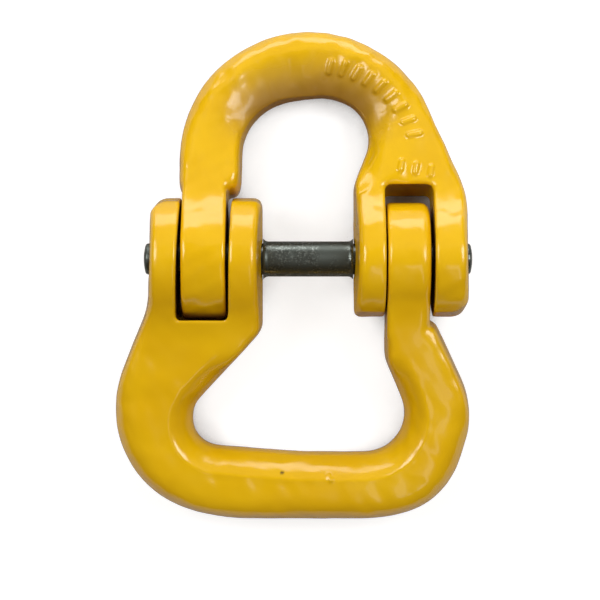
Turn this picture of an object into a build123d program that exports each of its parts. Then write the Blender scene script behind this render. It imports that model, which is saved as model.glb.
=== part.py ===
"""Connecting link for a lifting sling: two forged halves that interleave on one load pin.

Millimetres. The link lies on a level surface, X runs along the load pin, Y along the
link towards its round half, Z is up. The origin is under the middle of the link, on the
surface that it lies on. Each half is drawn in its own flat plane with the pin axis at
Y = 0, Z = 0, and is then lowered about the pin until its bar rests on the surface.
"""

import os
from math import radians, sqrt, tan

from build123d import *

os.makedirs("parts", exist_ok=True)

# Forging, both halves
DRAFT = 5.0
BLANK_HALF_DEPTH = 22.0
LONG_EDGE = 2.4
EYE_EDGE = 1.2
SLOT_CORNER = 1.4
SLOT_SPAN = 21.0
BORE_CHAMFER = 0.6
ROLL_OVERCUT = 4.0
WIDE = 140.0

# Load pin
PIN_RADIUS = 5.3
PIN_CLEARANCE = 0.08
PIN_LEFT = -55.8
PIN_RIGHT = 55.8
PIN_DOME = 0.8
PIN_EDGE = 1.1
PIN_WAIST_RADIUS = 4.7
PIN_WAIST_LENGTH = 11.0
PIN_WAIST_RAMP = 0.6
BORE_RADIUS = PIN_RADIUS + PIN_CLEARANCE

# Sleeve on the pin, and the grip spring inside it
SLEEVE_WALL = 0.6
SLEEVE_LEFT = -15.2
SLEEVE_RIGHT = 15.25
SLEEVE_BELL = 1.0
SLEEVE_BELL_LENGTH = 1.7
SPRING_INNER_RADIUS = 4.76
SPRING_OUTER_RADIUS = 5.36
SPRING_LENGTH = 9.6
SPRING_GAP = 1.6

# Round half
BOW_HUB_RADIUS = 20.1
BOW_HALF_DEPTH = 9.5
BOW_NECK_BLEND = 24.0
BOW_REACH = 90.0
BOW_CROWN_CENTRE = (0.4, 34.9)
BOW_CROWN_RADIUS = 44.3
BOW_FLANK_ANGLE = 23.0
BOW_FLANK_BLEND = 36.0
BOW_RIGHT_SIDE = 54.6
BOW_OUTER_CORNER = 6.5
BOW_SHOULDER = 22.0
BOW_INNER_LEFT = -22.6
BOW_INNER_RIGHT = 20.75
BOW_INNER_EAR = 15.35
BOW_THROAT = 25.2
BOW_WAIST = 38.6
BOW_CROWN_RIGHT = 57.6
BOW_CROWN_LEFT = 54.1
BOW_FORK_END = -19.2
BOW_EYE_LEFT = -42.5
BOW_EYE_RIGHT = -27.4
BOW_NECK_END = 27.0
BOW_SLOT_LEFT = 26.1
BOW_SLOT_RIGHT = 42.2
BOW_SLOT_ROOT = 25.3
BOW_SLOT_MOUTH = 0.8
BOW_SEAT_ROUND = 9.0
BOW_SEAT_GAP = 0.3
BOW_RIM_ROUND = 8.0
BOW_RIM_START = 158.0
BOW_RIM_END = 40.0
BOW_RIM_RUNOUT = 32.0
BOW_DROOP = 9.556

# Wide half
WEB_HUB_RADIUS = 21.3
WEB_HALF_DEPTH = 11.5
WEB_NECK_BLEND = 26.0
WEB_REACH = -100.0
WEB_FORK_END = 20.3
WEB_FORK_LEFT = -53.3
WEB_FORK_RIGHT = -15.3
WEB_OUTER_CORNER = 6.0
WEB_INNER_CORNER = 3.2
WEB_END = -89.45
WEB_LEFT_SIDE = -65.85
WEB_SEAT_Y = -66.8
WEB_SHOULDER = -21.4
WEB_EYE_LEFT = 26.45
WEB_EYE_RIGHT = 41.1
WEB_EYE_RADIUS = 19.2
WEB_NECK_END = -26.0
WEB_SLOT_ROOT = 22.8
WEB_SLOT_LEFT = (-43.0, -44.6)
WEB_SLOT_RIGHT = (-25.9, -26.9)
WEB_SLOT_MOUTH = 0.4
WEB_SEAT_ROUND = 10.0
WEB_RIM_ROUND = 9.0
WEB_DROOP = 7.009

# Where the pin axis lies in the shared frame
PIN_X = 5.025
PIN_Y = 5.284
PIN_Z = 21.3


def lowered(half, angle):
    """Turn a half about the pin axis and set it into the shared frame."""
    return half.rotate(Axis.X, angle).translate(Vector(PIN_X, PIN_Y, PIN_Z))


def side_profile(hub_radius, half_depth, blend, reach):
    """Side view of a half: a round hub that blends into a bar of even depth."""
    side = 1.0 if reach > 0 else -1.0
    up = half_depth + blend
    along = sqrt((hub_radius + blend) ** 2 - up**2)
    on_hub = Vector(along, up) * (hub_radius / (hub_radius + blend))
    halfway = (Vector(0, -1) + Vector(-along, -up).normalized()).normalized()
    on_blend = Vector(along, up) + halfway * blend
    with BuildSketch(Plane.YZ) as profile:
        with BuildLine():
            Line((reach, half_depth), (side * along, half_depth))
            ThreePointArc(
                (side * along, half_depth),
                (side * on_blend.X, on_blend.Y),
                (side * on_hub.X, on_hub.Y),
            )
            ThreePointArc(
                (side * on_hub.X, on_hub.Y),
                (-side * hub_radius, 0),
                (side * on_hub.X, -on_hub.Y),
            )
            ThreePointArc(
                (side * on_hub.X, -on_hub.Y),
                (side * on_blend.X, -on_blend.Y),
                (side * along, -half_depth),
            )
            Line((side * along, -half_depth), (reach, -half_depth))
            Line((reach, -half_depth), (reach, half_depth))
        make_face()
    return profile.sketch


def is_long_edge(edge):
    """Whether an edge runs between a drafted side wall and the lower face."""
    box = edge.bounding_box()
    across = box.size.Y < 0.01 and box.size.Z < 0.01
    return box.max.Z < -1.0 and not across


def is_bore_rim(edge):
    """Whether an edge is the mouth of a pin bore."""
    box = edge.bounding_box()
    across = 2 * BORE_RADIUS
    return box.size.X < 1.5 and abs(box.size.Y - across) < 0.1 and abs(box.size.Z - across) < 0.1


def is_slot_mouth(edge, walls):
    """Whether an edge runs over a hub along a slot wall; walls give X a hub's width apart."""

    def on_wall(point, wall):
        upper, lower = wall
        share = (SLOT_SPAN - point.Y) / (2 * SLOT_SPAN)
        return abs(point.X - upper - (lower - upper) * share) < 0.01

    points = (edge @ 0, edge @ 0.5, edge @ 1)
    along = any(all(on_wall(point, wall) for point in points) for wall in walls)
    return along and edge.bounding_box().size.Y > SLOT_SPAN


def slot(left, right, root, way_out):
    """Cutter of a fork slot: leaning side walls and a round root about the pin axis.

    left and right give X of each wall at Y = SLOT_SPAN and at Y = -SLOT_SPAN, and
    way_out is 1 where the slot opens towards +Y.
    """
    with BuildPart() as cutter:
        with BuildSketch(Plane.XY.offset(-BLANK_HALF_DEPTH)):
            with BuildLine():
                Polyline(
                    (2 * left[0] - left[1], 3 * SLOT_SPAN),
                    (2 * left[1] - left[0], -3 * SLOT_SPAN),
                    (2 * right[1] - right[0], -3 * SLOT_SPAN),
                    (2 * right[0] - right[1], 3 * SLOT_SPAN),
                    close=True,
                )
            make_face()
        extrude(amount=2 * BLANK_HALF_DEPTH)
        with BuildSketch(Plane.YZ) as round_root:
            Circle(root)
            with Locations((way_out * WIDE / 2, 0)):
                Rectangle(WIDE, 2 * root)
        extrude(amount=WIDE, both=True, mode=Mode.INTERSECT)
        root_edges = cutter.edges().filter_by(lambda e: e.geom_type != GeomType.LINE)
        fillet(root_edges, SLOT_CORNER)
    return cutter.part


def eye(profile, left, right, neck_end, left_edge, right_edge):
    """Single eye with flat sides, on a neck that reaches into its leg."""
    with BuildPart() as part:
        extrude(profile.moved(Location((left, 0, 0))), amount=right - left)
        with Locations((0, neck_end, 0)):
            far_side = Align.MIN if neck_end > 0 else Align.MAX
            Box(WIDE, WIDE, WIDE, align=(Align.CENTER, far_side, Align.CENTER), mode=Mode.SUBTRACT)
        for x, radius in ((left, left_edge), (right, right_edge)):
            rim = part.edges().filter_by_position(Axis.X, x - 0.01, x + 0.01)
            fillet(rim.filter_by(lambda e: e.bounding_box().size.Z > 5.0 and e.length > 25.0), radius)
    return part.part


def bow_outline():
    """Plan view of the round half along its parting line."""
    with BuildLine() as outline:
        crown = CenterArc(BOW_CROWN_CENTRE, BOW_CROWN_RADIUS, BOW_FLANK_ANGLE, 180.0 - BOW_FLANK_ANGLE)
        left = crown @ 1
        right = crown @ 0
        flank_y = right.Y - (BOW_RIGHT_SIDE - right.X) / tan(radians(BOW_FLANK_ANGLE))
        FilletPolyline(
            right,
            (BOW_RIGHT_SIDE, flank_y),
            (BOW_RIGHT_SIDE, -WIDE / 4),
            (BOW_INNER_EAR, -WIDE / 4),
            (BOW_INNER_EAR, BOW_THROAT),
            (BOW_INNER_RIGHT, BOW_WAIST),
            (BOW_INNER_RIGHT, BOW_CROWN_RIGHT),
            (BOW_INNER_LEFT, BOW_CROWN_LEFT),
            (BOW_INNER_LEFT, BOW_SHOULDER),
            (left.X, BOW_SHOULDER),
            left,
            radius=[BOW_FLANK_BLEND, 0, 0, 4.0, 10.0, 15.4, 20.2, 3.5, 3.0],
        )
    return outline.line


def corner_cut(corner, radius, turn):
    """Block that rounds one upright corner of a fork; turn 0 is an upper right corner."""
    with BuildPart() as part:
        with BuildSketch(Plane(origin=(corner[0], corner[1], 0)).rotated((0, 0, turn))):
            with Locations((-radius, -radius)):
                Rectangle(2 * radius, 2 * radius, align=(Align.MIN, Align.MIN))
                Circle(radius, mode=Mode.SUBTRACT)
        extrude(amount=BLANK_HALF_DEPTH, both=True)
    return part.part


def roll(path, half_depth, radius):
    """Cutter that rolls the long edges of a bar over, above and below.

    The bar lies to the right of the path, which leaves the bar at both of its ends.
    """
    base = half_depth - radius
    heading = path % 0
    with BuildPart() as cut:
        with BuildSketch(Plane(origin=path @ 0, x_dir=(heading.Y, -heading.X, 0), z_dir=heading)):
            with BuildLine():
                bend = CenterArc((radius, base), radius, 90.0, 90.0)
                Polyline(
                    bend @ 1,
                    (-ROLL_OVERCUT, base),
                    (-ROLL_OVERCUT, BLANK_HALF_DEPTH),
                    (radius, BLANK_HALF_DEPTH),
                    bend @ 0,
                )
            make_face()
        sweep(path=path)
        mirror(about=Plane.XY)
    return cut.part


def bow_seat():
    """Line just inside the opening along the round half's inner edge, where the fitting bears."""
    with BuildLine() as path:
        FilletPolyline(
            (4.5, 23.0),
            (17.2, 30.5),
            (BOW_INNER_RIGHT - BOW_SEAT_GAP, BOW_WAIST),
            (BOW_INNER_RIGHT - BOW_SEAT_GAP, BOW_CROWN_RIGHT - BOW_SEAT_GAP),
            (BOW_INNER_LEFT + BOW_SEAT_GAP, BOW_CROWN_LEFT - BOW_SEAT_GAP),
            (-14.0, 12.0),
            radius=[12.0, 10.0, 15.4, 20.2],
        )
    return path.line


def bow_rim():
    """Outer edge of the round half's crown."""
    with BuildLine() as path:
        over = CenterArc(BOW_CROWN_CENTRE, BOW_CROWN_RADIUS, BOW_RIM_START, BOW_RIM_END - BOW_RIM_START)
        Line((over @ 0) - (over % 0) * BOW_RIM_RUNOUT, over @ 0)
        Line(over @ 1, (over @ 1) + (over % 1) * BOW_RIM_RUNOUT)
    return path.line


def make_bow_half():
    """Round half: omega bow with a single eye on the left leg and a fork on the right."""
    profile = side_profile(BOW_HUB_RADIUS, BOW_HALF_DEPTH, BOW_NECK_BLEND, BOW_REACH)
    with BuildPart() as half:
        with BuildSketch():
            with BuildLine():
                add(bow_outline())
            make_face()
        extrude(amount=BLANK_HALF_DEPTH, taper=DRAFT)
        extrude(profile, amount=WIDE, both=True, mode=Mode.INTERSECT)
        with Locations((0, BOW_FORK_END, 0)):
            Box(WIDE, WIDE, WIDE, align=(Align.CENTER, Align.MAX, Align.CENTER), mode=Mode.SUBTRACT)
        fillet(half.edges().filter_by(is_long_edge), LONG_EDGE)
        mirror(about=Plane.XY)
        add(roll(bow_seat(), BOW_HALF_DEPTH, BOW_SEAT_ROUND), mode=Mode.SUBTRACT)
        add(roll(bow_rim(), BOW_HALF_DEPTH, BOW_RIM_ROUND), mode=Mode.SUBTRACT)
        add(corner_cut((BOW_RIGHT_SIDE, BOW_FORK_END), BOW_OUTER_CORNER, -90.0), mode=Mode.SUBTRACT)
        add(eye(profile, BOW_EYE_LEFT, BOW_EYE_RIGHT, BOW_NECK_END, EYE_EDGE, EYE_EDGE))
        walls = ((BOW_SLOT_LEFT, BOW_SLOT_LEFT), (BOW_SLOT_RIGHT, BOW_SLOT_RIGHT))
        add(slot(*walls, BOW_SLOT_ROOT, -1), mode=Mode.SUBTRACT)
        fillet(half.edges().filter_by(lambda e: is_slot_mouth(e, walls)), BOW_SLOT_MOUTH)
        Cylinder(BORE_RADIUS, WIDE, rotation=(0, 90, 0), mode=Mode.SUBTRACT)
        chamfer(half.edges().filter_by(is_bore_rim), BORE_CHAMFER)
    return half.part


def web_outline():
    """Plan view of the wide half along its parting line."""
    with BuildLine() as outline:
        FilletPolyline(
            (-53.0, WIDE / 4),
            (WEB_FORK_RIGHT, WIDE / 4),
            (WEB_FORK_RIGHT, -24.0),
            (-39.5, -50.5),
            (-39.5, -63.9),
            (-3.0, WEB_SEAT_Y),
            (33.0, WEB_SEAT_Y),
            (33.0, -50.1),
            (26.0, -33.6),
            (26.0, WEB_SHOULDER),
            (43.3, WEB_SHOULDER),
            (57.3, -51.5),
            (47.5, -83.7),
            (25.4, WEB_END),
            (-28.6, WEB_END),
            (WEB_LEFT_SIDE, -79.65),
            (WEB_LEFT_SIDE, -44.2),
            (-54.7, -16.2),
            radius=[0, 0, 6, 9, 9.4, 100, 13.5, 12, 8, 2.6, 2.6, 29.5, 27.7, 55, 75, 36, 40, 25],
            close=True,
        )
    return outline.line


def web_seat():
    """Inner edge of the wide half, where the webbing bears."""
    with BuildLine() as path:
        FilletPolyline(
            (0.0, -36.5),
            (-27.6, -37.5),
            (-39.5, -50.5),
            (-39.5, -63.9),
            (-3.0, WEB_SEAT_Y),
            (33.0, WEB_SEAT_Y),
            (33.0, -50.1),
            (28.7, -39.9),
            (4.0, -36.0),
            radius=[14.0, 9.0, 9.4, 100.0, 13.5, 12.0, 6.0],
        )
    return path.line


def web_rim():
    """Outer edge of the wide half, round both of its lower corners."""
    with BuildLine() as path:
        FilletPolyline(
            (63.9, -30.0),
            (47.5, -83.7),
            (25.4, WEB_END),
            (-28.6, WEB_END),
            (WEB_LEFT_SIDE, -79.65),
            (WEB_LEFT_SIDE, -22.0),
            radius=[27.7, 55.0, 75.0, 36.0],
        )
    return path.line


def web_side_forms(profile, eye_profile):
    """Side form of the fork leg on the left and of the slimmer eye leg on the right."""
    with BuildPart() as forms:
        extrude(profile, amount=-WIDE)
        extrude(eye_profile, amount=WIDE)
    return forms.part


def make_web_half():
    """Wide half: webbing seat with a fork on the left leg and a single eye on the right."""
    profile = side_profile(WEB_HUB_RADIUS, WEB_HALF_DEPTH, WEB_NECK_BLEND, WEB_REACH)
    eye_profile = side_profile(WEB_EYE_RADIUS, WEB_HALF_DEPTH, WEB_NECK_BLEND, WEB_REACH)
    with BuildPart() as half:
        with BuildSketch():
            with BuildLine():
                add(web_outline())
            make_face()
        extrude(amount=-BLANK_HALF_DEPTH, taper=DRAFT)
        add(web_side_forms(profile, eye_profile), mode=Mode.INTERSECT)
        with Locations((0, WEB_FORK_END, 0)):
            Box(WIDE, WIDE, WIDE, align=(Align.CENTER, Align.MIN, Align.CENTER), mode=Mode.SUBTRACT)
        fillet(half.edges().filter_by(is_long_edge), LONG_EDGE)
        mirror(about=Plane.XY)
        add(roll(web_seat(), WEB_HALF_DEPTH, WEB_SEAT_ROUND), mode=Mode.SUBTRACT)
        add(roll(web_rim(), WEB_HALF_DEPTH, WEB_RIM_ROUND), mode=Mode.SUBTRACT)
        add(corner_cut((WEB_FORK_LEFT, WEB_FORK_END), WEB_OUTER_CORNER, 90.0), mode=Mode.SUBTRACT)
        add(corner_cut((WEB_FORK_RIGHT, WEB_FORK_END), WEB_INNER_CORNER, 0.0), mode=Mode.SUBTRACT)
        add(eye(eye_profile, WEB_EYE_LEFT, WEB_EYE_RIGHT, WEB_NECK_END, EYE_EDGE, 3.0))
        add(slot(WEB_SLOT_LEFT, WEB_SLOT_RIGHT, WEB_SLOT_ROOT, 1), mode=Mode.SUBTRACT)
        walls = (WEB_SLOT_LEFT, WEB_SLOT_RIGHT)
        fillet(half.edges().filter_by(lambda e: is_slot_mouth(e, walls)), WEB_SLOT_MOUTH)
        Cylinder(BORE_RADIUS, WIDE, rotation=(0, 90, 0), mode=Mode.SUBTRACT)
        chamfer(half.edges().filter_by(is_bore_rim), BORE_CHAMFER)
    return half.part


def make_load_pin():
    """Load pin with domed ends and a waist that holds the grip spring."""
    waist = PIN_WAIST_LENGTH / 2
    with BuildPart() as pin:
        with BuildSketch(Plane.XZ) as half_section:
            with BuildLine():
                left = TangentArc((PIN_LEFT, 0), (PIN_LEFT + PIN_DOME, PIN_RADIUS), tangent=(0, 1))
                right = TangentArc((PIN_RIGHT, 0), (PIN_RIGHT - PIN_DOME, PIN_RADIUS), tangent=(0, 1))
                Polyline(
                    left @ 1,
                    (-waist - PIN_WAIST_RAMP, PIN_RADIUS),
                    (-waist, PIN_WAIST_RADIUS),
                    (waist, PIN_WAIST_RADIUS),
                    (waist + PIN_WAIST_RAMP, PIN_RADIUS),
                    right @ 1,
                )
                Line(left @ 0, right @ 0)
            make_face()
            rims = half_section.vertices().filter_by(lambda v: abs(v.X) > PIN_RIGHT - 2 * PIN_DOME)
            fillet(rims.filter_by(lambda v: v.Y > PIN_RADIUS / 2), PIN_EDGE)
        revolve(axis=Axis.X)
    return pin.part


def make_pin_sleeve():
    """Thin sleeve between the inner ears, with a belled mouth at both ends."""
    bore = BORE_RADIUS
    outside = bore + SLEEVE_WALL
    with BuildPart() as sleeve:
        with BuildSketch(Plane.XZ):
            with BuildLine():
                left = TangentArc(
                    (SLEEVE_LEFT + SLEEVE_BELL_LENGTH, outside),
                    (SLEEVE_LEFT, outside + SLEEVE_BELL),
                    tangent=(-1, 0),
                )
                right = TangentArc(
                    (SLEEVE_RIGHT - SLEEVE_BELL_LENGTH, outside),
                    (SLEEVE_RIGHT, outside + SLEEVE_BELL),
                    tangent=(1, 0),
                )
                Line(left @ 0, right @ 0)
                Polyline(
                    left @ 1,
                    (SLEEVE_LEFT, bore + SLEEVE_BELL),
                    (SLEEVE_LEFT + SLEEVE_BELL_LENGTH, bore),
                    (SLEEVE_RIGHT - SLEEVE_BELL_LENGTH, bore),
                    (SLEEVE_RIGHT, bore + SLEEVE_BELL),
                    right @ 1,
                )
            make_face()
        revolve(axis=Axis.X)
    return sleeve.part


def make_grip_spring():
    """Split ring spring between the waist of the pin and the bore of the sleeve."""
    with BuildPart() as spring:
        with BuildSketch(Plane.YZ.offset(-SPRING_LENGTH / 2)):
            Circle(SPRING_OUTER_RADIUS)
            Circle(SPRING_INNER_RADIUS, mode=Mode.SUBTRACT)
            with Locations((0, -SPRING_OUTER_RADIUS)):
                Rectangle(SPRING_GAP, SPRING_OUTER_RADIUS, mode=Mode.SUBTRACT)
        extrude(amount=SPRING_LENGTH)
    return spring.part


at_pin = Vector(PIN_X, PIN_Y, PIN_Z)

with BuildPart() as bow_half:
    add(lowered(make_bow_half(), -BOW_DROOP))
bow_half.part.label = "bow_half"
export_step(bow_half.part, "parts/bow_half.step")

with BuildPart() as web_half:
    add(lowered(make_web_half(), WEB_DROOP))
web_half.part.label = "web_half"
export_step(web_half.part, "parts/web_half.step")

with BuildPart() as load_pin:
    add(make_load_pin().translate(at_pin))
load_pin.part.label = "load_pin"
export_step(load_pin.part, "parts/load_pin.step")

with BuildPart() as pin_sleeve:
    add(make_pin_sleeve().translate(at_pin))
pin_sleeve.part.label = "pin_sleeve"
export_step(pin_sleeve.part, "parts/pin_sleeve.step")

with BuildPart() as grip_spring:
    add(make_grip_spring().translate(at_pin))
grip_spring.part.label = "grip_spring"
export_step(grip_spring.part, "parts/grip_spring.step")
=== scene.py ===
"""Yellow connecting link for a lifting sling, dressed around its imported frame.

The two forged halves are shown by finely meshed copies of their solids, with the soft
edges, slow lumps and raised marks of a painted forging. The inner sides of their bars
slope more broadly than the solids' and their necks are a little fuller. The load pin, its
sleeve and its grip spring are the frame's own pieces in dark steel.
"""

import logging
from dataclasses import dataclass, field
from enum import Enum
from math import cos, pi, radians, sin

import bmesh
import bpy
import numpy as np
from mathutils import Euler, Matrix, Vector
from mathutils.kdtree import KDTree


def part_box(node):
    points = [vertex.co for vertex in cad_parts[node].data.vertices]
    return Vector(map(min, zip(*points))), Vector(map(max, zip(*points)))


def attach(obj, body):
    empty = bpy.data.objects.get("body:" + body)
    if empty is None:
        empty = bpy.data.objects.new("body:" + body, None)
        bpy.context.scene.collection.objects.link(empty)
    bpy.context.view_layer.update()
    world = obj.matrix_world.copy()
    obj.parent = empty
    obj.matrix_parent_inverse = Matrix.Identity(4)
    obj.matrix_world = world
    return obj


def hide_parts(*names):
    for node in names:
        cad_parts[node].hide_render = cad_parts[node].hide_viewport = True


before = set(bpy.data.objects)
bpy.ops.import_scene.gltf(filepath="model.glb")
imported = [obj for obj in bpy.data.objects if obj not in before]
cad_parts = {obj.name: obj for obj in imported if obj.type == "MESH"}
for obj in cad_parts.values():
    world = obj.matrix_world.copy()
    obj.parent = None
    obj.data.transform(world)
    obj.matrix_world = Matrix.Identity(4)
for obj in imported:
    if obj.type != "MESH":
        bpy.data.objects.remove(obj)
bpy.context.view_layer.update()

log = logging.getLogger("connecting_link")

MM = 0.001
SENSOR_WIDTH = 36.0

# Names of the vertex attributes that the paint reads.
SPECK = "speck"
SEAT_SHADE_AND_DUST = "seat_shade_and_dust"

# How far a vertex goes towards its neighbours in each round of evening out.
PACE = 0.5

# Vertical part of the normal over which the marks fade in, and the lumps come to their full.
MARKED_FACE = (0.15, 0.5)
LEVEL_FACE = (0.1, 0.6)

# Share of the lumps that is left at the machined ears and on upright walls.
EAR_LUMPS = 0.6
WALL_LUMPS = 0.35

Socket = bpy.types.NodeSocket
Node = bpy.types.Node
Tree = bpy.types.NodeTree
Colour = tuple[float, float, float]


class Body(Enum):
    """Bodies that the pieces ride on."""

    BOW = "bow"
    WEB = "web"
    PIN = "pin"


def joint_centre() -> Vector:
    """Find the middle of the load pin, which both halves fold about.

    Returns:
        The point in metres.
    """
    low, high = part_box("load_pin")
    return (low + high) / 2


def add_node(tree: Tree, kind: str, **values: object) -> Node:
    """Add a shader node and set its properties.

    Args:
        tree: Tree that the node goes into.
        kind: Blender's name for the kind of node.
        values: Properties of the node, by name.

    Returns:
        The new node.
    """
    node = tree.nodes.new(kind)
    for name, value in values.items():
        setattr(node, name, value)
    return node


def feed(tree: Tree, target: Socket, source: Socket | float | Colour) -> None:
    """Link a socket to another one, or set it to a plain value.

    Args:
        tree: Tree that holds both sockets.
        target: Input socket.
        source: Output socket, number or colour.
    """
    if isinstance(source, bpy.types.NodeSocket):
        tree.links.new(source, target)
    elif isinstance(source, tuple) and target.type == "RGBA":
        target.default_value = (*source, 1.0)
    else:
        target.default_value = source


def number(tree: Tree, operation: str, a: Socket | float, b: Socket | float) -> Socket:
    """Work out one number from two.

    Args:
        tree: Tree that the node goes into.
        operation: Name of the math operation.
        a: First value.
        b: Second value.

    Returns:
        The socket that holds the result.
    """
    node = add_node(tree, "ShaderNodeMath", operation=operation)
    feed(tree, node.inputs[0], a)
    feed(tree, node.inputs[1], b)
    return node.outputs[0]


def span(tree: Tree, value: Socket, low: Socket | float, high: Socket | float) -> Socket:
    """Map a value smoothly from a span to 0 and 1.

    Args:
        tree: Tree that the node goes into.
        value: Value to map.
        low: Value that gives 0.
        high: Value that gives 1.

    Returns:
        The socket that holds the mapped value.
    """
    node = add_node(tree, "ShaderNodeMapRange", interpolation_type="SMOOTHSTEP")
    feed(tree, node.inputs["Value"], value)
    feed(tree, node.inputs["From Min"], low)
    feed(tree, node.inputs["From Max"], high)
    return node.outputs["Result"]


def blend_colour(
    tree: Tree, share: Socket | float, a: Socket | Colour, b: Socket | Colour
) -> Socket:
    """Mix two colours.

    Args:
        tree: Tree that the node goes into.
        share: How much of the second colour there is.
        a: First colour.
        b: Second colour.

    Returns:
        The socket that holds the mixed colour.
    """
    node = add_node(tree, "ShaderNodeMix", data_type="RGBA")
    feed(tree, node.inputs["Factor"], share)
    feed(tree, node.inputs["A"], a)
    feed(tree, node.inputs["B"], b)
    return node.outputs["Result"]


def noise(tree: Tree, where: Socket, scale: Socket | float, detail: float = 2.0) -> Socket:
    """Add a noise texture.

    Args:
        tree: Tree that the node goes into.
        where: Position that the noise is read at.
        scale: Cells of noise in each metre.
        detail: Octaves of finer noise.

    Returns:
        The socket that holds the noise, from 0 to 1.
    """
    node = add_node(tree, "ShaderNodeTexNoise")
    feed(tree, node.inputs["Vector"], where)
    feed(tree, node.inputs["Scale"], scale)
    node.inputs["Detail"].default_value = detail
    return node.outputs["Fac"]


@dataclass
class EffectGroup:
    """Shader node group that several materials share.

    Attributes:
        name: Name of the group.
        inputs: Float inputs with their usual values.
        outputs: Output sockets with their socket kinds.
        tree: Its node tree.
        entry: Node that brings its inputs in.
        leave: Node that takes its outputs out.
    """

    name: str
    inputs: dict[str, float]
    outputs: dict[str, str]
    tree: Tree = field(init=False)
    entry: Node = field(init=False)
    leave: Node = field(init=False)

    def __post_init__(self) -> None:
        """Make the empty group with its sockets."""
        self.tree = bpy.data.node_groups.new(self.name, "ShaderNodeTree")
        for name, value in self.inputs.items():
            socket = self.tree.interface.new_socket(
                name, in_out="INPUT", socket_type="NodeSocketFloat"
            )
            socket.default_value = value
        for name, kind in self.outputs.items():
            self.tree.interface.new_socket(name, in_out="OUTPUT", socket_type=kind)
        self.entry = add_node(self.tree, "NodeGroupInput")
        self.leave = add_node(self.tree, "NodeGroupOutput")

    def place(self, tree: Tree, **values: float) -> Node:
        """Place the group in a material.

        Args:
            tree: The material's tree.
            values: Input values, with underscores for the spaces in their names.

        Returns:
            The group node.
        """
        node = add_node(tree, "ShaderNodeGroup", node_tree=self.tree)
        for name, value in values.items():
            node.inputs[name.replace("_", " ").capitalize()].default_value = value
        return node


def make_wavy_skin() -> EffectGroup:
    """Build the relief of a sprayed or rolled surface: slow waves under a fine grain.

    Returns:
        The group, whose Height is in metres.
    """
    group = EffectGroup(
        "wavy_skin",
        {"Wave size": 0.009, "Wave depth": 0.00005, "Grain size": 0.0018, "Grain depth": 0.00001},
        {"Height": "NodeSocketFloat"},
    )
    tree = group.tree
    where = add_node(tree, "ShaderNodeTexCoord").outputs["Object"]
    layers = []
    for kind, detail in (("Wave", 1.0), ("Grain", 2.0)):
        cells = number(tree, "DIVIDE", 1.0, group.entry.outputs[f"{kind} size"])
        height = noise(tree, where, cells, detail)
        layers.append(number(tree, "MULTIPLY", height, group.entry.outputs[f"{kind} depth"]))
    feed(tree, group.leave.inputs["Height"], number(tree, "ADD", *layers))
    return group


def make_cloudy_mask() -> EffectGroup:
    """Build a soft patchy mask for drifting colour and gloss.

    Returns:
        The group, whose Mask runs from 0 to 1.
    """
    group = EffectGroup(
        "cloudy_mask",
        {"Patch size": 0.03, "Low": 0.35, "High": 0.65},
        {"Mask": "NodeSocketFloat"},
    )
    tree = group.tree
    where = add_node(tree, "ShaderNodeTexCoord").outputs["Object"]
    cells = number(tree, "DIVIDE", 1.0, group.entry.outputs["Patch size"])
    cloud = noise(tree, where, cells, 3.0)
    mask = span(tree, cloud, group.entry.outputs["Low"], group.entry.outputs["High"])
    feed(tree, group.leave.inputs["Mask"], mask)
    return group


def make_edge_mask() -> EffectGroup:
    """Build masks of the proud edges and of the hollows of a form.

    Returns:
        The group, whose Edge and Hollow run from 0 to 1.
    """
    group = EffectGroup(
        "edge_mask",
        {"Edge start": 0.52, "Edge full": 0.62, "Hollow start": 0.48, "Hollow full": 0.40},
        {"Edge": "NodeSocketFloat", "Hollow": "NodeSocketFloat"},
    )
    tree = group.tree
    bend = add_node(tree, "ShaderNodeNewGeometry").outputs["Pointiness"]
    for kind in ("Edge", "Hollow"):
        start = group.entry.outputs[f"{kind} start"]
        full = group.entry.outputs[f"{kind} full"]
        feed(tree, group.leave.inputs[kind], span(tree, bend, start, full))
    return group


def make_shelter_mask() -> EffectGroup:
    """Build a mask of the places that little light reaches, such as slots and feet of walls.

    Returns:
        The group, whose Mask runs from 0 in the open to 1 in the deepest shelter.
    """
    group = EffectGroup(
        "shelter_mask",
        {"Reach": 0.012, "Open": 0.28, "Closed": 0.02},
        {"Mask": "NodeSocketFloat"},
    )
    tree = group.tree
    shelter = add_node(tree, "ShaderNodeAmbientOcclusion", samples=6)
    feed(tree, shelter.inputs["Distance"], group.entry.outputs["Reach"])
    opened = group.entry.outputs["Open"]
    closed = group.entry.outputs["Closed"]
    feed(tree, group.leave.inputs["Mask"], span(tree, shelter.outputs["AO"], opened, closed))
    return group


@dataclass
class Effects:
    """The shader node groups that the finishes share."""

    wavy_skin: EffectGroup = field(default_factory=make_wavy_skin)
    cloudy_mask: EffectGroup = field(default_factory=make_cloudy_mask)
    edge_mask: EffectGroup = field(default_factory=make_edge_mask)
    shelter_mask: EffectGroup = field(default_factory=make_shelter_mask)


def new_material(name: str) -> tuple[bpy.types.Material, Tree, Node]:
    """Make a material with a Principled shader.

    Args:
        name: Name of the material.

    Returns:
        The material, its tree and its shader.
    """
    material = bpy.data.materials.new(name)
    material.use_nodes = True
    tree = material.node_tree
    return material, tree, tree.nodes["Principled BSDF"]


def add_relief(tree: Tree, shader: Node, skin: Node) -> None:
    """Put the relief of a skin on a shader.

    Args:
        tree: The material's tree.
        shader: The material's shader.
        skin: Node whose Height is in metres.
    """
    bump = add_node(tree, "ShaderNodeBump")
    bump.inputs["Distance"].default_value = 1.0
    feed(tree, bump.inputs["Height"], skin.outputs["Height"])
    feed(tree, shader.inputs["Normal"], bump.outputs["Normal"])


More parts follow.
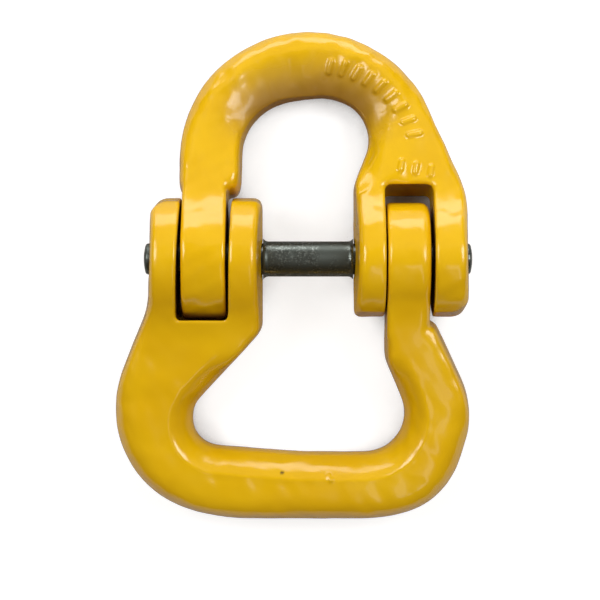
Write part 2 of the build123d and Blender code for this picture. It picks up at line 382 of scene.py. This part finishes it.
@dataclass(frozen=True)
class PaintFinish:
    """Thick glossy paint over a rough forging.

    Attributes:
        name: Name of the material.
        body: Usual colour of the paint.
        edge_highlight: Lighter colour painted on proud edges as a highlight.
        hollow_shade: Darker, more orange colour painted in hollows as shade.
        cloud: Colour that the paint drifts to in soft patches.
        shade_and_dust_colour: Dark colour painted as shade in slots and on the seats of the bars,
            where the paint is also dusted and matt.
        speck: Colour of a speck of dirt under the paint.
        roughness: Roughness between the glossiest and the dullest patches.
        dust_roughness: Roughness that the shade_and_dust mask adds, as dusted paint is matt.
        coat: Weight of the clear gloss on top.
        coat_roughness: Roughness of the clear gloss.
        cloud_size: Size of the soft patches of colour, in metres.
        gloss_size: Size of the glossy and dull patches, in metres.
    """

    name: str
    body: Colour = (0.86, 0.515, 0.003)
    edge_highlight: Colour = (0.90, 0.585, 0.006)
    hollow_shade: Colour = (0.72, 0.34, 0.002)
    cloud: Colour = (0.82, 0.475, 0.002)
    shade_and_dust_colour: Colour = (0.175, 0.068, 0.020)
    speck: Colour = (0.05, 0.03, 0.01)
    roughness: tuple[float, float] = (0.17, 0.26)
    dust_roughness: float = 0.4
    coat: float = 0.3
    coat_roughness: float = 0.045
    cloud_size: float = 0.022
    gloss_size: float = 0.013

    def make(self, effects: Effects) -> bpy.types.Material:
        """Build the material.

        Args:
            effects: Shared shader groups.

        Returns:
            The material.
        """
        material, tree, shader = new_material(self.name)
        edges = effects.edge_mask.place(tree)
        patches = effects.cloudy_mask.place(tree, patch_size=self.cloud_size)
        colour = blend_colour(tree, patches.outputs["Mask"], self.body, self.cloud)
        # Painted highlight on proud edges, and painted shade in hollows.
        colour = blend_colour(tree, edges.outputs["Edge"], colour, self.edge_highlight)
        colour = blend_colour(tree, edges.outputs["Hollow"], colour, self.hollow_shade)
        # Painted shade in slots and at the feet of walls, where little light reaches, joined with
        # the painted shade on the bar's seat.
        shelter = effects.shelter_mask.place(tree)
        seat_shade_and_dust_node = add_node(tree, "ShaderNodeAttribute", attribute_name=SEAT_SHADE_AND_DUST)
        shade_and_dust = number(tree, "MAXIMUM", shelter.outputs["Mask"], seat_shade_and_dust_node.outputs["Fac"])
        colour = blend_colour(tree, shade_and_dust, colour, self.shade_and_dust_colour)
        speck = add_node(tree, "ShaderNodeAttribute", attribute_name=SPECK)
        colour = blend_colour(tree, speck.outputs["Fac"], colour, self.speck)
        feed(tree, shader.inputs["Base Color"], colour)
        gloss = effects.cloudy_mask.place(tree, patch_size=self.gloss_size)
        glossiest, dullest = self.roughness
        dull = number(tree, "MULTIPLY", gloss.outputs["Mask"], dullest - glossiest)
        matt = number(tree, "MULTIPLY", shade_and_dust, self.dust_roughness)
        dull = number(tree, "ADD", number(tree, "ADD", dull, matt), glossiest)
        feed(tree, shader.inputs["Roughness"], dull)
        clear = number(tree, "MULTIPLY", number(tree, "SUBTRACT", 1.0, shade_and_dust), self.coat)
        feed(tree, shader.inputs["Coat Weight"], clear)
        shader.inputs["Coat Roughness"].default_value = self.coat_roughness
        add_relief(tree, shader, effects.wavy_skin.place(tree))
        return material


@dataclass(frozen=True)
class SteelFinish:
    """Dark phosphated or blued steel.

    Attributes:
        name: Name of the material.
        body: Usual colour.
        bright: Colour of the rubbed and glinting specks.
        roughness: Roughness between the glossiest and the dullest patches.
        metallic: How metallic the surface is.
        grain_size: Size of the crystal grain, in metres.
        grain_depth: Depth of the grain, in metres.
        wave_size: Size of the slow waves, in metres.
        wave_depth: Depth of the slow waves, in metres.
        patch_size: Size of the glossy and dull patches, in metres.
        speck_span: Values of the grain's noise over which a speck fades in.
    """

    name: str
    body: Colour = (0.105, 0.119, 0.108)
    bright: Colour = (0.32, 0.35, 0.33)
    roughness: tuple[float, float] = (0.30, 0.44)
    metallic: float = 1.0
    grain_size: float = 0.0007
    grain_depth: float = 0.000012
    wave_size: float = 0.004
    wave_depth: float = 0.00001
    patch_size: float = 0.006
    speck_span: tuple[float, float] = (0.45, 0.75)

    def make(self, effects: Effects) -> bpy.types.Material:
        """Build the material.

        Args:
            effects: Shared shader groups.

        Returns:
            The material.
        """
        material, tree, shader = new_material(self.name)
        low, high = self.speck_span
        specks = effects.cloudy_mask.place(tree, patch_size=self.grain_size, low=low, high=high)
        patches = effects.cloudy_mask.place(tree, patch_size=self.patch_size)
        share = number(tree, "MULTIPLY", specks.outputs["Mask"], patches.outputs["Mask"])
        feed(tree, shader.inputs["Base Color"], blend_colour(tree, share, self.body, self.bright))
        shader.inputs["Metallic"].default_value = self.metallic
        glossiest, dullest = self.roughness
        dull = number(tree, "MULTIPLY", patches.outputs["Mask"], glossiest - dullest)
        feed(tree, shader.inputs["Roughness"], number(tree, "ADD", dull, dullest))
        skin = effects.wavy_skin.place(
            tree,
            wave_size=self.wave_size,
            wave_depth=self.wave_depth,
            grain_size=self.grain_size,
            grain_depth=self.grain_depth,
        )
        add_relief(tree, shader, skin)
        return material


def read_vectors(mesh: bpy.types.Mesh, what: str) -> np.ndarray:
    """Read a vector of every vertex.

    Args:
        mesh: Mesh to read.
        what: Name of the vertex property, such as co or normal.

    Returns:
        An array with a row for each vertex.
    """
    flat = np.empty(3 * len(mesh.vertices), dtype=np.float64)
    mesh.vertices.foreach_get(what, flat)
    return flat.reshape(-1, 3)


def write_points(mesh: bpy.types.Mesh, points: np.ndarray) -> None:
    """Move every vertex of a mesh.

    Args:
        mesh: Mesh to change.
        points: An array with a row for each vertex.
    """
    mesh.vertices.foreach_set("co", points.ravel())
    mesh.update()


def even_out(mesh: bpy.types.Mesh, weight: np.ndarray, rounds: int) -> None:
    """Roll the edges of a mesh by moving every vertex towards the middle of its neighbours.

    Args:
        mesh: Mesh to change.
        weight: How far each vertex goes in each round, from 0 to 1.
        rounds: How many rounds are made.
    """
    edges = np.empty(2 * len(mesh.edges), dtype=np.int32)
    mesh.edges.foreach_get("vertices", edges)
    near, far = edges.reshape(-1, 2).T
    here = np.concatenate((near, far))
    there = np.concatenate((far, near))
    points = read_vectors(mesh, "co")
    count = np.bincount(here, minlength=len(points))[:, None]
    for _ in range(rounds):
        sums = [np.bincount(here, points[there, axis], len(points)) for axis in range(3)]
        points += weight[:, None] * (np.stack(sums, axis=1) / count - points)
    write_points(mesh, points)


def rise(value: np.ndarray, low: float, high: float) -> np.ndarray:
    """Map values smoothly from a span to 0 and 1.

    Args:
        value: Values to map.
        low: Value that gives 0.
        high: Value that gives 1.

    Returns:
        The mapped values.
    """
    share = np.clip((value - low) / (high - low), 0.0, 1.0)
    return share * share * (3.0 - 2.0 * share)


def plan_of(points: np.ndarray) -> np.ndarray:
    """Find where points lie in plan.

    Args:
        points: Rows of positions.

    Returns:
        Rows of X and Y from the joint's middle, in millimetres.
    """
    return (points[:, :2] - np.array(joint_centre()[:2])) / MM


@dataclass(frozen=True)
class Lumps:
    """Slow unevenness that the forging dies and the paint leave on a surface.

    Attributes:
        depth: How far the deepest hollow sinks, in metres.
        longest: Longest wave, in metres.
        shortest: Shortest wave, in metres.
        waves: How many waves are added up.
        seed: Seed of their directions and phases.
        slant: Power of its length that gives a wave its strength.
        middle: Usual share of the depth.
        swing: Share of the depth that a usual wave adds or takes away.
    """

    depth: float = 0.7 * MM
    longest: float = 26 * MM
    shortest: float = 4.5 * MM
    waves: int = 34
    seed: int = 7
    slant: float = 0.6
    middle: float = 0.5
    swing: float = 0.25

    def sink(self, points: np.ndarray) -> np.ndarray:
        """Work out how far each point sinks below the solid's own surface.

        Args:
            points: Rows of positions.

        Returns:
            A depth for each point, never below 0.
        """
        draw = np.random.default_rng(self.seed)
        total = np.zeros(len(points))
        weight = 0.0
        for length in np.geomspace(self.longest, self.shortest, self.waves):
            heading = draw.normal(size=3)
            heading /= np.linalg.norm(heading)
            strength = length**self.slant
            total += strength * np.sin(points @ heading * 2 * pi / length + draw.uniform(0, 2 * pi))
            weight += strength**2
        spread = total / np.sqrt(weight / 2)
        return self.depth * np.clip(self.middle + self.swing * spread, 0.0, 1.0)


@dataclass(frozen=True)
class SeatSlope:
    """Slope on which the inner side of a bar falls from its top to the parting line.

    Attributes:
        width: Width of the slope in plan, in millimetres.
        turn: How it turns into the top, from 1 for a flat chamfer to 2 for a round edge.
        depth: Half depth of the bar, in millimetres.
        roll: Radius of the solid's own round edge, in millimetres.
        start: Distance from the pin at which the slope starts along the opening, in millimetres.
        full: Distance from the pin at which it is wholly there, in millimetres.
        foot: Half depth that is left at the parting line, in millimetres.
        shade_and_dust: How strongly the foot of the slope is painted in shade and dusted, from 0 to
            1.
        shade_and_dust_reach: Width of that shaded and dusted band, in widths of the slope.
        guard: Least depth of the solid that the slope is measured against, in depths of the foot.
        lead: Distance before the start from which points are worked on, in millimetres.
        wall_lead: Distance before the start from which the opening's wall is traced, in
            millimetres.
        wall_band: Half depth of the band at the parting line that traces it, in millimetres.
        inward: Least cosine between a wall's normal and the way to the opening's middle.
    """

    width: float
    turn: float
    depth: float
    roll: float
    start: float
    full: float
    foot: float = 2.0
    shade_and_dust: float = 0.0
    shade_and_dust_reach: float = 1.1
    guard: float = 2.0
    lead: float = 4.0
    wall_lead: float = 2.0
    wall_band: float = 0.5
    inward: float = 0.3

    def keep(self, inset: np.ndarray, reach: np.ndarray) -> np.ndarray:
        """Work out how much of its height over the parting plane each point keeps.

        Args:
            inset: Distance of each point from the opening, in millimetres.
            reach: Distance from the pin at the opening's nearest point, in millimetres.

        Returns:
            A factor for each point.
        """
        inward = np.clip(1.0 - inset / self.width, 0.0, 1.0)
        fall = (1.0 - inward**self.turn) ** (1.0 / self.turn)
        slope = self.foot + (self.depth - self.foot) * fall
        short = np.clip(self.roll - inset, 0.0, self.roll)
        solid = self.depth - self.roll + np.sqrt(self.roll**2 - short**2)
        share = slope / np.maximum(solid, self.guard * self.foot)
        return 1.0 + (share - 1.0) * rise(reach, self.start, self.full)

    def shade_and_dust_at(self, inset: np.ndarray, reach: np.ndarray) -> np.ndarray:
        """Work out how strongly each point is painted in shade and dusted.

        Args:
            inset: Distance of each point from the opening, in millimetres.
            reach: Distance from the pin at the opening's nearest point, in millimetres.

        Returns:
            A mask for each point.
        """
        low = rise(-inset, -self.shade_and_dust_reach * self.width, 0.0)
        return self.shade_and_dust * low * rise(reach, self.start, self.full)


@dataclass(frozen=True)
class NeckFill:
    """Fuller blend between the round hub and the bar, as the thick paint and soft dies leave it.

    Attributes:
        hub: Radius of the hub, in millimetres.
        depth: Half depth of the bar, in millimetres.
        blend: Radius of the solid's own hollow blend, in millimetres.
        end: Distance from the pin at which the fuller blend ends, in millimetres.
        share: How far the hollow is filled up to a straight line, from 0 to 1.
        ease: Length over which the line eases into the bar, in millimetres.
        fill_start: Where the fill starts, as a share of the way to the hollow blend.
        fill_full: Where it is wholly there, as a share of the way to the even bar.
    """

    hub: float
    depth: float
    blend: float
    end: float
    share: float
    ease: float = 9.0
    fill_start: float = 0.3
    fill_full: float = 0.5

    def grow(self, reach: np.ndarray) -> np.ndarray:
        """Work out how much deeper the section gets at each distance from the pin.

        Args:
            reach: Distance of each point from the pin along the half, in millimetres.

        Returns:
            A factor for each point.
        """
        blend_centre = self.depth + self.blend
        far = np.sqrt((self.hub + self.blend) ** 2 - blend_centre**2)
        near = far * self.hub / (self.hub + self.blend)
        on_hub = np.sqrt(np.maximum(self.hub**2 - np.minimum(reach, near) ** 2, 0.0))
        off = np.clip(far - reach, 0.0, far - near)
        hollow = blend_centre - np.sqrt(self.blend**2 - off**2)
        solid = np.where(reach < near, on_hub, hollow)
        away = np.hypot(self.end, self.depth)
        slope = np.arcsin(self.hub / away) - np.arctan2(self.depth, self.end)
        left = self.end - reach
        line = self.depth + (left + np.hypot(left, self.ease)) / 2 * np.tan(slope)
        share = self.share * rise(reach, self.fill_start * near, self.fill_full * far)
        return 1.0 + share * (np.maximum(line, solid) / solid - 1.0)


@dataclass(frozen=True)
class RaisedMark:
    """Plain round-ended rib on the upper face, with its place in plan.

    Attributes:
        x: Place along the load pin from the joint's middle, in millimetres.
        y: Place along the link from the load pin, in millimetres.
        length: Length between the centres of its round ends, in millimetres.
        turn: Direction of its length from +X, in degrees.
        width: Width in millimetres.
        height: How far it stands proud, in millimetres.
        crest: Share of its half width that is level on top.
        skirt: Width of the foot beyond its edge, in millimetres.
    """

    x: float
    y: float
    length: float
    turn: float
    width: float = 2.2
    height: float = 0.75
    crest: float = 0.2
    skirt: float = 0.5

    def lift(self, plan: np.ndarray) -> np.ndarray:
        """Work out how far the rib lifts each point.

        Args:
            plan: Rows of X and Y from the joint's middle, in millimetres.

        Returns:
            A height in millimetres for each point.
        """
        along = np.array([cos(radians(self.turn)), sin(radians(self.turn))])
        away = plan - np.array([self.x, self.y])
        share = np.clip(away @ along, -self.length / 2, self.length / 2)
        distance = np.linalg.norm(away - share[:, None] * along, axis=1)
        half = self.width / 2
        return self.height * (1.0 - rise(distance, self.crest * half, half + self.skirt))


@dataclass
class ForgedHalf:
    """A forged half, shown by a finely meshed copy of its solid.

    Attributes:
        node: Name of the frame's node.
        name: Name of the new piece.
        body: Body that it rides on.
        slot: Material slot that its finish belongs to; not used.
        finish: Its paint.
        lumps: Unevenness of its surface.
        droop: Angle from the lying half's plane up to the level, about the pin, in degrees.
        opening: Middle of its opening, as a distance from the pin in its plane, in millimetres.
        seat: Slope on the inner side of its bar.
        neck: Blend between its hub and its bar.
        cell: Size of the mesh's cells, in metres.
        ear_blur: Length over which the edges of the machined ears are evened out, in metres.
        bar_blur: Length over which those of the forged bars are, beyond the ears', in metres.
        ears_end: Distance from the pin at which the ears end, in metres.
        bars_start: Distance from the pin at which the bars are wholly smooth, in metres.
        swell: How far the bars are let out before they are smoothed, in metres.
        piece: The new piece.
    """

    node: str
    name: str
    body: Body
    slot: str
    finish: PaintFinish
    lumps: Lumps
    droop: float
    opening: float
    seat: SeatSlope
    neck: NeckFill
    cell: float
    ear_blur: float = 1.03 * MM
    bar_blur: float = 2.9 * MM
    ears_end: float = 20 * MM
    bars_start: float = 29 * MM
    swell: float = 0.18 * MM
    piece: bpy.types.Object = field(init=False)

    def build(self) -> None:
        """Make the piece and let it stand for the frame's solid."""
        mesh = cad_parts[self.node].data.copy()
        self.piece = bpy.data.objects.new(self.name, mesh)
        bpy.context.scene.collection.objects.link(self.piece)
        remesh = self.piece.modifiers.new("cells", "REMESH")
        remesh.mode = "VOXEL"
        remesh.voxel_size = self.cell
        graph = bpy.context.evaluated_depsgraph_get()
        self.piece.data = bpy.data.meshes.new_from_object(self.piece.evaluated_get(graph))
        self.piece.modifiers.clear()
        self.piece.data.name = self.name
        self.soften()
        self.form_bar()
        self.refine()
        self.shape()
        self.piece.data.shade_smooth()
        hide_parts(self.node)
        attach(self.piece, self.body.value)
        triangles = sum(len(face.vertices) - 2 for face in self.piece.data.polygons)
        log.info("%s: %d triangles", self.name, triangles)

    def barness(self, points: np.ndarray) -> np.ndarray:
        """Tell the forged bars from the machined ears.

        Args:
            points: Rows of positions.

        Returns:
            A share for each point, 0 at the ears and 1 on the bars.
        """
        away = np.abs(points[:, 1] - joint_centre().y)
        return rise(away, self.ears_end, self.bars_start)

    def soften(self) -> None:
        """Roll the edges: a little at the ears, and broadly on the bars."""
        mesh = self.piece.data
        points = read_vectors(mesh, "co")
        even_out(mesh, np.full(len(points), PACE), round((self.ear_blur / self.cell) ** 2))
        bars = self.barness(points)
        points = read_vectors(mesh, "co")
        write_points(mesh, points + read_vectors(mesh, "normal") * (bars * self.swell)[:, None])
        even_out(mesh, PACE * bars, round((self.bar_blur / self.cell) ** 2))

    def form_bar(self) -> None:
        """Slope the inner side of the bar and fill its neck, in the plane of the half."""
        mesh = self.piece.data
        seat = self.seat
        centre = np.array(joint_centre())
        turn = np.array(Euler((radians(self.droop), 0.0, 0.0)).to_matrix())
        flat = (read_vectors(mesh, "co") - centre) @ turn.T / MM
        facing = read_vectors(mesh, "normal") @ turn.T
        side = flat[:, 1] * np.sign(self.opening)
        towards = np.array([0.0, self.opening]) - flat[:, :2]
        faced = np.sum(towards * facing[:, :2], axis=1)
        inner = faced > seat.inward * np.linalg.norm(towards, axis=1)
        beyond = side > seat.start - seat.wall_lead
        belt = np.flatnonzero(inner & beyond & (np.abs(flat[:, 2]) < seat.wall_band))
        tree = KDTree(len(belt))
        for index in belt:
            tree.insert((flat[index, 0], flat[index, 1], 0.0), index)
        tree.balance()
        near = np.flatnonzero(side > seat.start - seat.lead)
        found = [tree.find((x, y, 0.0)) for x, y in flat[near, :2]]
        inset = np.array([distance for _, _, distance in found])
        reach = np.array([abs(place.y) for place, _, _ in found])
        flat[near, 2] *= seat.keep(inset, reach)
        flat[:, 2] *= np.where(side > 0.0, self.neck.grow(np.abs(side)), 1.0)
        write_points(mesh, (flat * MM) @ turn + centre)
        # Painted shade, with a dusted matt look, on the foot of the seat slope.
        shade_and_dust = np.zeros(len(flat))
        shade_and_dust[near] = seat.shade_and_dust_at(inset, reach)
        mesh.attributes.new(SEAT_SHADE_AND_DUST, "FLOAT", "POINT").data.foreach_set("value", shade_and_dust)

    def refine(self) -> None:
        """Halve the cells where marks will stand, so that the marks come out clean."""
        mesh = self.piece.data
        upper = read_vectors(mesh, "normal")[:, 2] > 0.0
        marked = (self.relief(plan_of(read_vectors(mesh, "co"))) > 0.0) & upper
        work = bmesh.new()
        work.from_mesh(mesh)
        edges = [edge for edge in work.edges if all(marked[vertex.index] for vertex in edge.verts)]
        bmesh.ops.subdivide_edges(work, edges=edges, cuts=1, use_grid_fill=True)
        work.to_mesh(mesh)
        work.free()

    def shape(self) -> None:
        """Sink the lumps and raise the marks."""
        mesh = self.piece.data
        points = read_vectors(mesh, "co")
        normals = read_vectors(mesh, "normal")
        plan = plan_of(points)
        lift = self.relief(plan) * rise(normals[:, 2], *MARKED_FACE) * MM
        sink = self.lumps.sink(points) * (EAR_LUMPS + (1.0 - EAR_LUMPS) * self.barness(points))
        level = rise(np.abs(normals[:, 2]), *LEVEL_FACE)
        sink *= WALL_LUMPS + (1.0 - WALL_LUMPS) * level
        moved = points + normals * (lift - sink)[:, None]
        low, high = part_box(self.node)
        write_points(mesh, np.clip(moved, np.array(low), np.array(high)))
        specks = mesh.attributes.new(SPECK, "FLOAT", "POINT")
        specks.data.foreach_set("value", self.speckle(plan) * (normals[:, 2] > 0.0))

    def relief(self, plan: np.ndarray) -> np.ndarray:
        """Work out how far the upper face is raised. A plain half has no marks.

        Args:
            plan: Rows of X and Y from the joint's middle, in millimetres.

        Returns:
            A height in millimetres for each point.
        """
        return np.zeros(len(plan))

    def speckle(self, plan: np.ndarray) -> np.ndarray:
        """Work out where dirt shows in the paint of the upper face.

        Args:
            plan: Rows of X and Y from the joint's middle, in millimetres.

        Returns:
            A mask from 0 to 1 for each point.
        """
        return np.zeros(len(plan))

    def dress(self, effects: Effects) -> None:
        """Paint the piece.

        Args:
            effects: Shared shader groups.
        """
        self.piece.data.materials.clear()
        self.piece.data.materials.append(self.finish.make(effects))


@dataclass
class BowHalf(ForgedHalf):
    """Round half, with plain ribs raised on its upper face.

    Attributes:
        crown: Centre of the bow from the joint's middle, in millimetres.
        first_angle: Direction of the first rib from the crown's centre, in degrees.
        last_angle: Direction of the last rib, in degrees.
        first_radius: Distance of the first rib's middle from the centre, in millimetres.
        last_radius: Distance of the last rib's middle, in millimetres.
        rib_count: How many ribs there are.
        rib_length: Length of a rib, in millimetres.
        fork_ribs: Places of the ribs above the fork, in millimetres.
        fork_rib_length: Length of each of them, in millimetres.
        fork_rib_turn: Direction of their length from +X, in degrees.
    """

    crown: tuple[float, float] = (0.4, 34.9)
    first_angle: float = 77.0
    last_angle: float = 12.0
    first_radius: float = 31.6
    last_radius: float = 36.4
    rib_count: int = 9
    rib_length: float = 3.8
    fork_ribs: tuple[tuple[float, float], ...] = ((31.4, 31.6), (36.4, 30.7), (41.4, 29.8))
    fork_rib_length: float = 2.6
    fork_rib_turn: float = 80.0

    def marks(self) -> list[RaisedMark]:
        """List the raised marks.

        Returns:
            The ribs along the bow, then those above the fork.
        """
        marks = []
        for share in np.linspace(0.0, 1.0, self.rib_count):
            angle = self.first_angle + (self.last_angle - self.first_angle) * share
            radius = self.first_radius + (self.last_radius - self.first_radius) * share
            x = self.crown[0] + radius * cos(radians(angle))
            y = self.crown[1] + radius * sin(radians(angle))
            marks.append(RaisedMark(x, y, self.rib_length, angle))
        for x, y in self.fork_ribs:
            marks.append(RaisedMark(x, y, self.fork_rib_length, self.fork_rib_turn))
        return marks

    def relief(self, plan: np.ndarray) -> np.ndarray:
        """Work out how far the ribs raise the upper face.

        Args:
            plan: Rows of X and Y from the joint's middle, in millimetres.

        Returns:
            A height in millimetres for each point.
        """
        return np.max([mark.lift(plan) for mark in self.marks()], axis=0)


@dataclass
class WebHalf(ForgedHalf):
    """Wide half, with a drip of paint and a speck of dirt on its bar.

    Attributes:
        drip: The drip, as a small mark.
        speck: Place of the speck from the joint's middle, in millimetres.
        speck_radius: Radius of the speck, in millimetres.
        speck_edge: Where it starts to fade and where it is gone, in its radii.
    """

    drip: RaisedMark = RaisedMark(7.4, -74.2, length=1.6, turn=-60.0, width=1.6, height=0.45)
    speck: tuple[float, float] = (-8.8, -72.4)
    speck_radius: float = 0.55
    speck_edge: tuple[float, float] = (0.5, 1.4)

    def relief(self, plan: np.ndarray) -> np.ndarray:
        """Work out how far the drip raises the upper face.

        Args:
            plan: Rows of X and Y from the joint's middle, in millimetres.

        Returns:
            A height in millimetres for each point.
        """
        return self.drip.lift(plan)

    def speckle(self, plan: np.ndarray) -> np.ndarray:
        """Work out where the speck shows.

        Args:
            plan: Rows of X and Y from the joint's middle, in millimetres.

        Returns:
            A mask from 0 to 1 for each point.
        """
        distance = np.linalg.norm(plan - np.array(self.speck), axis=1)
        solid, gone = self.speck_edge
        return 1.0 - rise(distance, solid * self.speck_radius, gone * self.speck_radius)


@dataclass
class PinSet:
    """Load pin, its sleeve and its grip spring: the frame's own pieces in steel.

    Attributes:
        finishes: Finish of each node.
    """

    finishes: dict[str, SteelFinish]

    def dress(self, effects: Effects) -> None:
        """Give each node its steel.

        Args:
            effects: Shared shader groups.
        """
        for node, finish in self.finishes.items():
            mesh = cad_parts[node].data
            mesh.materials.clear()
            mesh.materials.append(finish.make(effects))
            log.info("%s: %s", node, finish.name)


@dataclass(frozen=True)
class Lamp:
    """Rectangular soft light, aimed at the joint.

    Attributes:
        name: Name of the light.
        heading: Compass direction it stands in, in degrees from +X towards +Y.
        height_angle: How high it stands above the horizon, in degrees.
        distance: Distance from the joint, in metres.
        size: Width and height, in metres.
        power: Power in watts.
        colour: Colour of its light.
    """

    name: str
    heading: float
    height_angle: float
    distance: float
    size: tuple[float, float]
    power: float
    colour: Colour = (1.0, 1.0, 1.0)

    def place(self, aim: Vector) -> None:
        """Put the light into the scene.

        Args:
            aim: Point that it shines on.
        """
        light = bpy.data.lights.new(self.name, "AREA")
        light.shape = "RECTANGLE"
        light.size, light.size_y = self.size
        light.energy = self.power
        light.color = self.colour
        lamp = bpy.data.objects.new(self.name, light)
        bpy.context.scene.collection.objects.link(lamp)
        level = cos(radians(self.height_angle))
        away = Vector(
            (
                level * cos(radians(self.heading)),
                level * sin(radians(self.heading)),
                sin(radians(self.height_angle)),
            )
        )
        lamp.location = aim + away * self.distance
        lamp.rotation_euler = away.to_track_quat("Z", "Y").to_euler()


@dataclass(frozen=True)
class Studio:
    """Pale floor, soft lights, even surroundings and the camera.

    Attributes:
        floor_size: Side of the floor, in metres.
        floor_seen: Colour of the floor where it is seen or mirrored.
        floor_bounce: Colour of the floor for the light that it bounces.
        floor_lift: Light that is added to the open floor where it is seen.
        floor_sheen: Light that is added to the open floor where it is mirrored.
        nook: Reach of the shelter that the link gives to the floor, in metres.
        lift_span: Openness of the floor over which the lift fades in.
        sheen_span: Openness of the floor over which the sheen fades in.
        sky: Strength of the surroundings.
        sky_colour: Colour of the surroundings.
        lamps: The soft lights.
        photo_width: Width of the picture at the pin's height, in metres.
        camera_height: Height of the camera above the pin, in metres.
        camera_side: Place of the camera along the pin from the joint's middle, in metres.
        camera_along: Place of the camera along the link from the pin, in metres.
        shift: Sideways and lengthwise shift of the picture, in picture widths.
    """

    floor_size: float = 6.0
    floor_seen: Colour = (0.42, 0.42, 0.42)
    floor_bounce: Colour = (0.28, 0.14, 0.06)
    floor_lift: float = 0.8
    floor_sheen: float = 0.4
    nook: float = 60 * MM
    lift_span: tuple[float, float] = (0.15, 0.40)
    sheen_span: tuple[float, float] = (0.75, 1.0)
    sky: float = 0.12
    sky_colour: Colour = (1.0, 0.76, 0.48)
    lamps: tuple[Lamp, ...] = (
        Lamp("window", 94.0, 13.0, 1.1, (1.2, 0.44), 5.8),
        Lamp("glow", 90.0, 48.0, 1.2, (1.5, 0.80), 1.0),
        Lamp("left", 158.0, 54.0, 1.2, (0.50, 0.56), 6.5),
        Lamp("right", 18.0, 52.0, 1.2, (0.50, 0.56), 6.7),
        Lamp("strip", 292.0, 58.0, 1.2, (0.12, 0.80), 0.5),
    )
    photo_width: float = 204 * MM
    camera_height: float = 700 * MM
    camera_side: float = -1.7 * MM
    camera_along: float = -5.44 * MM
    shift: tuple[float, float] = (-0.005, -0.0417)

    def build(self) -> None:
        """Build the whole studio."""
        self.lay_floor()
        self.light_sky()
        for lamp in self.lamps:
            lamp.place(joint_centre())
        self.set_camera()
        bpy.context.scene.view_settings.view_transform = "Standard"
        log.info("studio: %d lamps", len(self.lamps))

    def lay_floor(self) -> None:
        """Lay the plain pale floor under the link."""
        half = self.floor_size / 2
        mesh = bpy.data.meshes.new("floor")
        corners = [(-half, -half, 0.0), (half, -half, 0.0), (half, half, 0.0), (-half, half, 0.0)]
        mesh.from_pydata(corners, [], [(0, 1, 2, 3)])
        floor = bpy.data.objects.new("floor", mesh)
        bpy.context.scene.collection.objects.link(floor)
        material, tree, shader = new_material("pale_floor")
        path = add_node(tree, "ShaderNodeLightPath").outputs
        direct = number(tree, "MAXIMUM", path["Is Camera Ray"], path["Is Transmission Ray"])
        mirrored = path["Is Glossy Ray"]
        seen = number(tree, "MAXIMUM", direct, mirrored)
        colour = blend_colour(tree, seen, self.floor_bounce, self.floor_seen)
        feed(tree, shader.inputs["Base Color"], colour)
        shader.inputs["Roughness"].default_value = 1.0
        shader.inputs["Specular IOR Level"].default_value = 0.0
        shader.inputs["Emission Color"].default_value = (1.0, 1.0, 1.0, 1.0)
        # Painted shadow: the light added to the floor where it is seen or mirrored fades out where
        # the link shelters it.
        shelter = add_node(tree, "ShaderNodeAmbientOcclusion")
        shelter.inputs["Distance"].default_value = self.nook
        shares = []
        for rays, light, openness in (
            (direct, self.floor_lift, self.lift_span),
            (mirrored, self.floor_sheen, self.sheen_span),
        ):
            open_floor = span(tree, shelter.outputs["AO"], *openness)
            lit = number(tree, "MULTIPLY", rays, open_floor)
            shares.append(number(tree, "MULTIPLY", lit, light))
        feed(tree, shader.inputs["Emission Strength"], number(tree, "ADD", *shares))
        mesh.materials.append(material)

    def light_sky(self) -> None:
        """Surround the scene with even light."""
        world = bpy.data.worlds.new("surroundings")
        world.use_nodes = True
        backdrop = world.node_tree.nodes["Background"]
        backdrop.inputs["Color"].default_value = (*self.sky_colour, 1.0)
        backdrop.inputs["Strength"].default_value = self.sky
        bpy.context.scene.world = world

    def set_camera(self) -> None:
        """Look straight down on the link, as the photograph does."""
        lens = bpy.data.cameras.new("camera")
        lens.sensor_width = SENSOR_WIDTH
        lens.lens = lens.sensor_width * self.camera_height / self.photo_width
        lens.shift_x, lens.shift_y = self.shift
        camera = bpy.data.objects.new("camera", lens)
        bpy.context.scene.collection.objects.link(camera)
        away = Vector((self.camera_side, self.camera_along, self.camera_height))
        camera.location = joint_centre() + away
        camera.rotation_euler = Euler((0.0, 0.0, 0.0))
        bpy.context.scene.camera = camera


def main() -> None:
    """Build the link and its studio, piece by piece."""
    effects = Effects()
    halves = (
        BowHalf(
            node="bow_half",
            name="bow_forging",
            body=Body.BOW,
            slot="bow_paint",
            finish=PaintFinish("bow_paint"),
            lumps=Lumps(seed=7, depth=0.85 * MM),
            droop=9.556,
            opening=35.0,
            seat=SeatSlope(
                width=15.0,
                turn=1.35,
                depth=9.5,
                roll=9.0,
                start=36.0,
                full=53.0,
                foot=1.5,
                shade_and_dust=0.75,
            ),
            neck=NeckFill(hub=20.1, depth=9.5, blend=24.0, end=40.0, share=0.3),
            cell=0.55 * MM,
        ),
        WebHalf(
            node="web_half",
            name="web_forging",
            body=Body.WEB,
            slot="web_paint",
            finish=PaintFinish("web_paint"),
            lumps=Lumps(seed=19, depth=0.38 * MM),
            droop=-7.009,
            opening=-48.0,
            seat=SeatSlope(width=7.7, turn=1.4, depth=11.5, roll=10.0, start=32.0, full=44.0),
            neck=NeckFill(hub=21.3, depth=11.5, blend=26.0, end=33.0, share=0.2),
            cell=0.62 * MM,
        ),
    )
    for half in halves:
        half.build()
        half.dress(effects)
    pins = PinSet(
        {
            "load_pin": SteelFinish("pin_steel"),
            "pin_sleeve": SteelFinish("sleeve_steel"),
            "grip_spring": SteelFinish("spring_steel", bright=(0.50, 0.50, 0.48)),
        }
    )
    pins.dress(effects)
    Studio().build()


if __name__ == "__main__":
    logging.basicConfig(level=logging.INFO)
    main()
